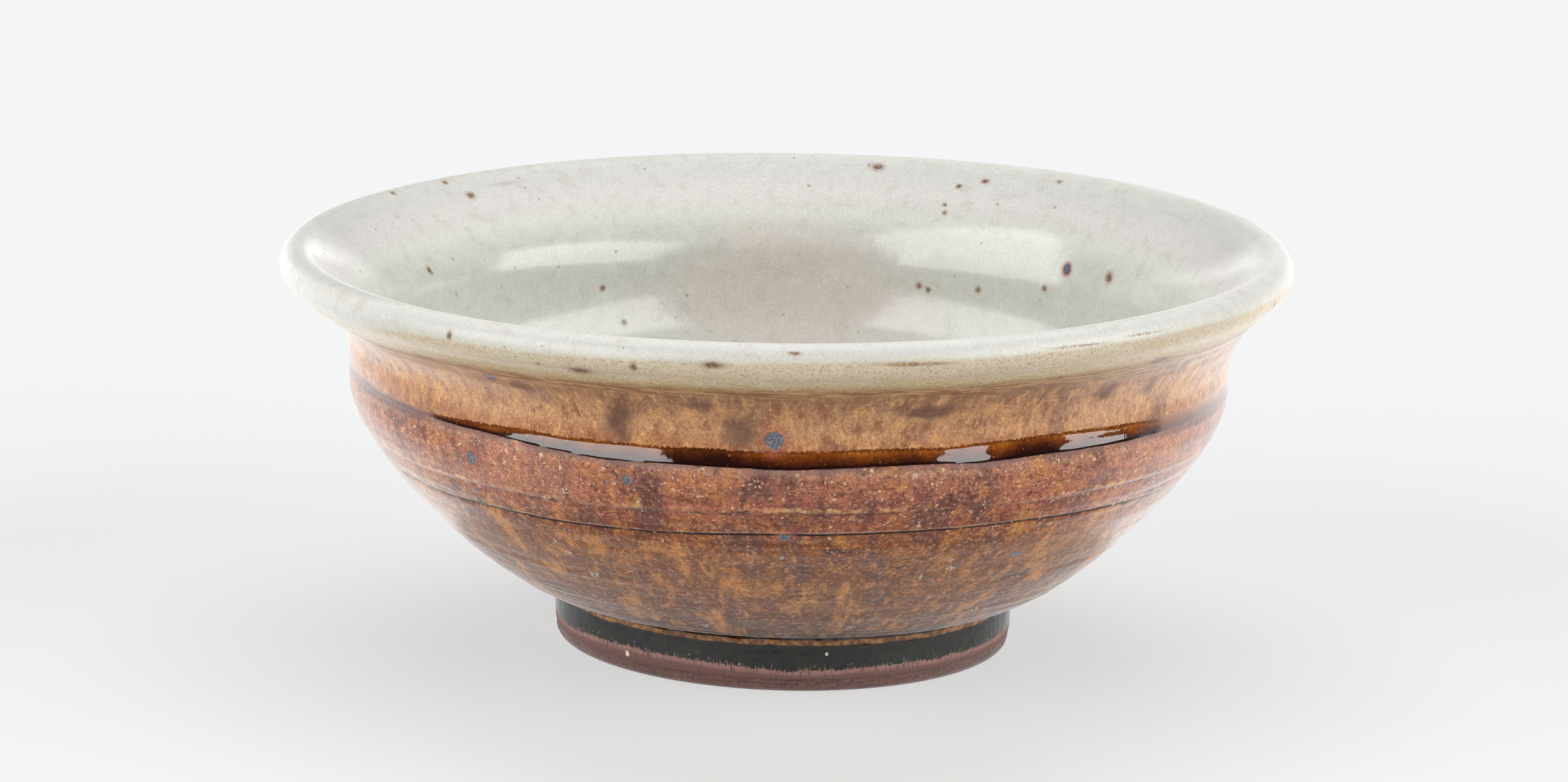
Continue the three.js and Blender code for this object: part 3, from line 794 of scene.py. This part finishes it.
def mesh_of(name, grid, loop, attributes, material, node):
    """A closed mesh from rows of points round the axis. A loop closes last row to first; otherwise both ends
    lie on the axis, and each shrinks to one point."""
    rows = len(grid)
    verts = askew(grid).reshape(-1, 3) * MM
    i, j = np.meshgrid(np.arange(rows if loop else rows - 1), np.arange(AROUND), indexing="ij")
    next_i, next_j = (i + 1) % rows, (j + 1) % AROUND
    corners = (i, j), (i, next_j), (next_i, next_j), (next_i, j)
    faces = np.stack([a * AROUND + b for a, b in corners], -1).reshape(-1, 4).tolist()
    if not loop:
        last, before_last = (rows - 1) * AROUND, (rows - 2) * AROUND
        faces = [f for f in faces if f[0] >= AROUND and f[2] < last]
        for k in range(AROUND):
            after = (k + 1) % AROUND
            faces += [[0, AROUND + after, AROUND + k], [last, before_last + k, before_last + after]]
        keep = np.r_[0, AROUND:last, last]
        new = np.full(len(verts), -1)
        new[keep] = np.arange(len(keep))
        verts = verts[keep]
        faces = [[int(new[v]) for v in f] for f in faces]
        attributes = {key: values.reshape(-1)[keep] for key, values in attributes.items()}
    mesh = bpy.data.meshes.new(name)
    mesh.from_pydata(verts.tolist(), [], faces)
    mesh.shade_smooth()
    mesh.set_sharp_from_angle(angle=SHARP)
    for key, values in attributes.items():
        values = np.asarray(values, np.float32).reshape(-1)
        mesh.attributes.new(key, "FLOAT", "POINT").data.foreach_set("value", values)
    mesh.materials.append(material)
    piece = linked(name, mesh)
    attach(piece, "root")
    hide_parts(node)


def coat(name, low, high, rows, back_rows, material, node):
    """A coat over the finished surface between two wavy lines, closed by a plain face against the clay."""
    s = between(low, high, rows)
    back = place(between(low, high, back_rows), -COAT_BACK)
    given = {"low": s - low, "high": high - s, "line": s - line_s, "ridge": s - ridge_s,
             "thin": np.broadcast_to(run_out, s.shape)}
    given = {key: np.concatenate([v, np.linspace(v[-1], v[0], back_rows)]) for key, v in given.items()}
    mesh_of(name, np.concatenate([place(s), back[::-1]]), True, given, material, node)


foot_low = 0.1 + wave(range(20, 200), 3, 0.10)
foot_high = np.full(AROUND, S_FOOT_TOP)
coat("foot_glaze_coat", foot_low, foot_high, 34, 4, foot_glaze(), "foot_glaze")
coat("wall_glaze_coat", foot_high, pool_low, 210, 14, wall_glaze(), "wall_glaze")
coat("shoulder_pool_ring", pool_low, pool_high, 20, 5, pool_glaze(), "shoulder_glaze_pool")
coat("neck_glaze_coat", pool_high, liner_low, 36, 5, neck_glaze(), "neck_glaze")

# The liner reaches the axis, so it is an open run: from the axis under it, out to its edge and back on top.
top, under = between(liner_low, S_END, 210), between(liner_low, S_END, 40)[::-1]
mesh_of("liner_glaze_coat", np.concatenate([place(under, -LINER_BACK), place(top)]), False,
        {"low": np.concatenate([under, top]) - liner_low}, liner_glaze(), "liner_glaze")

# The clay: recess, foot ring, the bare side below the foot's glaze, and the rest under the coats.
BARE_TOP = 2.8
COMB_DEPTH = 0.02
foot_inner = FOOT_RADIUS - FOOT_RING_WIDTH
recess_corner = (foot_inner - RECESS_FILLET, RECESS_DEPTH - RECESS_FILLET)
x = np.linspace(0, recess_corner[0], 60)
ceiling = np.stack([x, RECESS_DEPTH + RECESS_CROWN * (1 - (x / recess_corner[0]) ** 2)], 1)
bare_side = [(33.35, 0.12), (33.72, 0.5), (33.88, 1.0), (33.90, 2.6), (33.7, 2.9)]
foot_skin = join(arc((foot_inner + FOOT_EDGE, FOOT_EDGE), FOOT_EDGE, 180, 270, 8),
                 np.linspace((foot_inner + FOOT_EDGE, 0), (FOOT_RADIUS - FOOT_EDGE, 0), 12), bare_side)
foot_skin = smooth(foot_skin, 0.16, 0.2)
foot_skin[:, 1] = np.maximum(foot_skin[:, 1], 0)
body_line = join(ceiling, arc(recess_corner, RECESS_FILLET, 90, 0, 20),
                 np.linspace((foot_inner, recess_corner[1]), (foot_inner, FOOT_EDGE), 16), foot_skin,
                 np.linspace((FOOT_RADIUS, 3.2), (FOOT_RADIUS + FOOT_FLARE, FOOT_HEIGHT), 8),
                 clay_wall[::16], clay_groove[::5], clay_neck[::20], clay_lip[::12], clay_flare[::16],
                 clay_bowl[::20], clay_bowl[-1:])
r, z = body_line[:, :1], body_line[:, 1:]
body = revolved(r, z)
combed = COMB_DEPTH * (field(body.shape[:2], (0.4, SPACING[1]), 0.5, 30, 41)
                       + field(body.shape[:2], (0.4, SPACING[1]), 1.2, 2.0, 42))
combed *= np.clip((z - 0.3) / 0.4, 0, 1) * (r > 33) * (z < BARE_TOP)
body[..., :2] *= 1 + (combed / 33)[..., None]
mesh_of("stoneware_clay", body, False, {}, bare_clay(), "stoneware_body")

# Floor, light and camera, in metres and degrees
TABLE_GLOW = 0.51  # a lit table, so that shadows stay pale
TABLE_NEAR, TABLE_FAR, TABLE_SIDES = 0.062, 9, 96
paper = Glaze("pale_floor", 0.6)
paper.shader.inputs["Emission Color"].default_value = (1, 1, 1, 1)
paper.shader.inputs["Emission Strength"].default_value = TABLE_GLOW
paper.done(paper.mix(paper.noise(paper.mm, 60.0), (146, 149, 148), (148, 151, 150)))


def sheet(name, inner, outer):
    """A flat disc of floor, or a ring of it round the pot."""
    n = TABLE_SIDES
    way = [(math.cos(math.tau * k / n), math.sin(math.tau * k / n)) for k in range(n)]
    ring = [(radius * x, radius * y, 0) for radius in (inner, outer) for x, y in way]
    mesh = bpy.data.meshes.new(name)
    if inner:
        mesh.from_pydata(ring, [], [(k, n + k, n + (k + 1) % n, (k + 1) % n) for k in range(n)])
    else:
        mesh.from_pydata(ring[n:], [], [tuple(range(n))])
    mesh.materials.append(paper.material)
    made = linked(name, mesh)
    return made


sheet("floor_near", 0, TABLE_NEAR)
far_table = sheet("floor_far", TABLE_NEAR, TABLE_FAR)
far_table.visible_glossy = False  # so the glazes mirror the table round the pot and the dim room beyond it


def softbox(name, azimuth, elevation, distance, width, height, radiance):
    """A rectangular light aimed at the pot. Azimuth 0 is at the camera, and it runs to the right."""
    data = bpy.data.lights.new(name, "AREA")
    data.shape = "RECTANGLE"
    data.size, data.size_y = width, height
    data.energy = radiance * math.pi * width * height
    light = linked(name, data)
    a, e = math.radians(azimuth), math.radians(elevation)
    way = Vector((math.sin(a) * math.cos(e), -math.cos(a) * math.cos(e), math.sin(e)))
    light.location = way * distance + Vector((0, 0, 0.04))
    light.rotation_euler = way.to_track_quat("Z", "Y").to_euler()
    light.visible_camera = False
    return light


softbox("window_left", -59, 24, 6.0, 6.2, 4.1, 4.6)
softbox("window_right", 69.0, 24, 6.0, 6.45, 4.1, 4.7)
softbox("overhead", 180, 63, 5.0, 5.0, 4.0, 3.1).visible_glossy = False

# The room is dark on the camera's side and pale overhead and behind the pot. Straight behind it, at the
# horizon and below, it is far brighter: that light pales the outlines.
world = bpy.data.worlds.new("studio")
world.use_nodes = True
bpy.context.scene.world = world
room = Nodes(world.node_tree)
direction = room.node("TexCoord").outputs["Generated"]
_, back_of, up_of = room.node("SeparateXYZ", direction).outputs
away = room.node("VectorMath", direction, (0, 1, 0.7), operation="DOT_PRODUCT").outputs["Value"]
pale_room = room.step(away, -0.8, 0.4, 0.065, 0.003)
behind = room.step(back_of, 0.10, 0.80, 2.0)
near_level = room.node("MapRange", up_of, 0.26, 0.06).outputs[0]
background = world.node_tree.nodes["Background"]
background.inputs["Color"].default_value = (1, 1, 1, 1)
room.feed(background.inputs["Strength"], room.plus(pale_room, behind, near_level))

# The camera of the photograph, from a fit to its rim and foot.
LENS, SENSOR = 130.8, 36  # in millimetres
AIM = Vector((-0.00076, 0, 0.0371))
DISTANCE, ELEVATION, ROLLED = 0.850, math.radians(12.68), math.radians(1.66)
data = bpy.data.cameras.new("camera")
data.lens, data.sensor_width = LENS, SENSOR
data.clip_start, data.clip_end = 0.05, 50
camera = linked("camera", data)
back = Vector((0, -math.cos(ELEVATION), math.sin(ELEVATION)))
facing = back.to_track_quat("Z", "Y").to_matrix().to_4x4()
camera.matrix_world = Matrix.Translation(AIM + back * DISTANCE) @ facing @ Matrix.Rotation(ROLLED, 4, "Z")
bpy.context.scene.camera = camera
bpy.context.scene.view_settings.view_transform = "Standard"
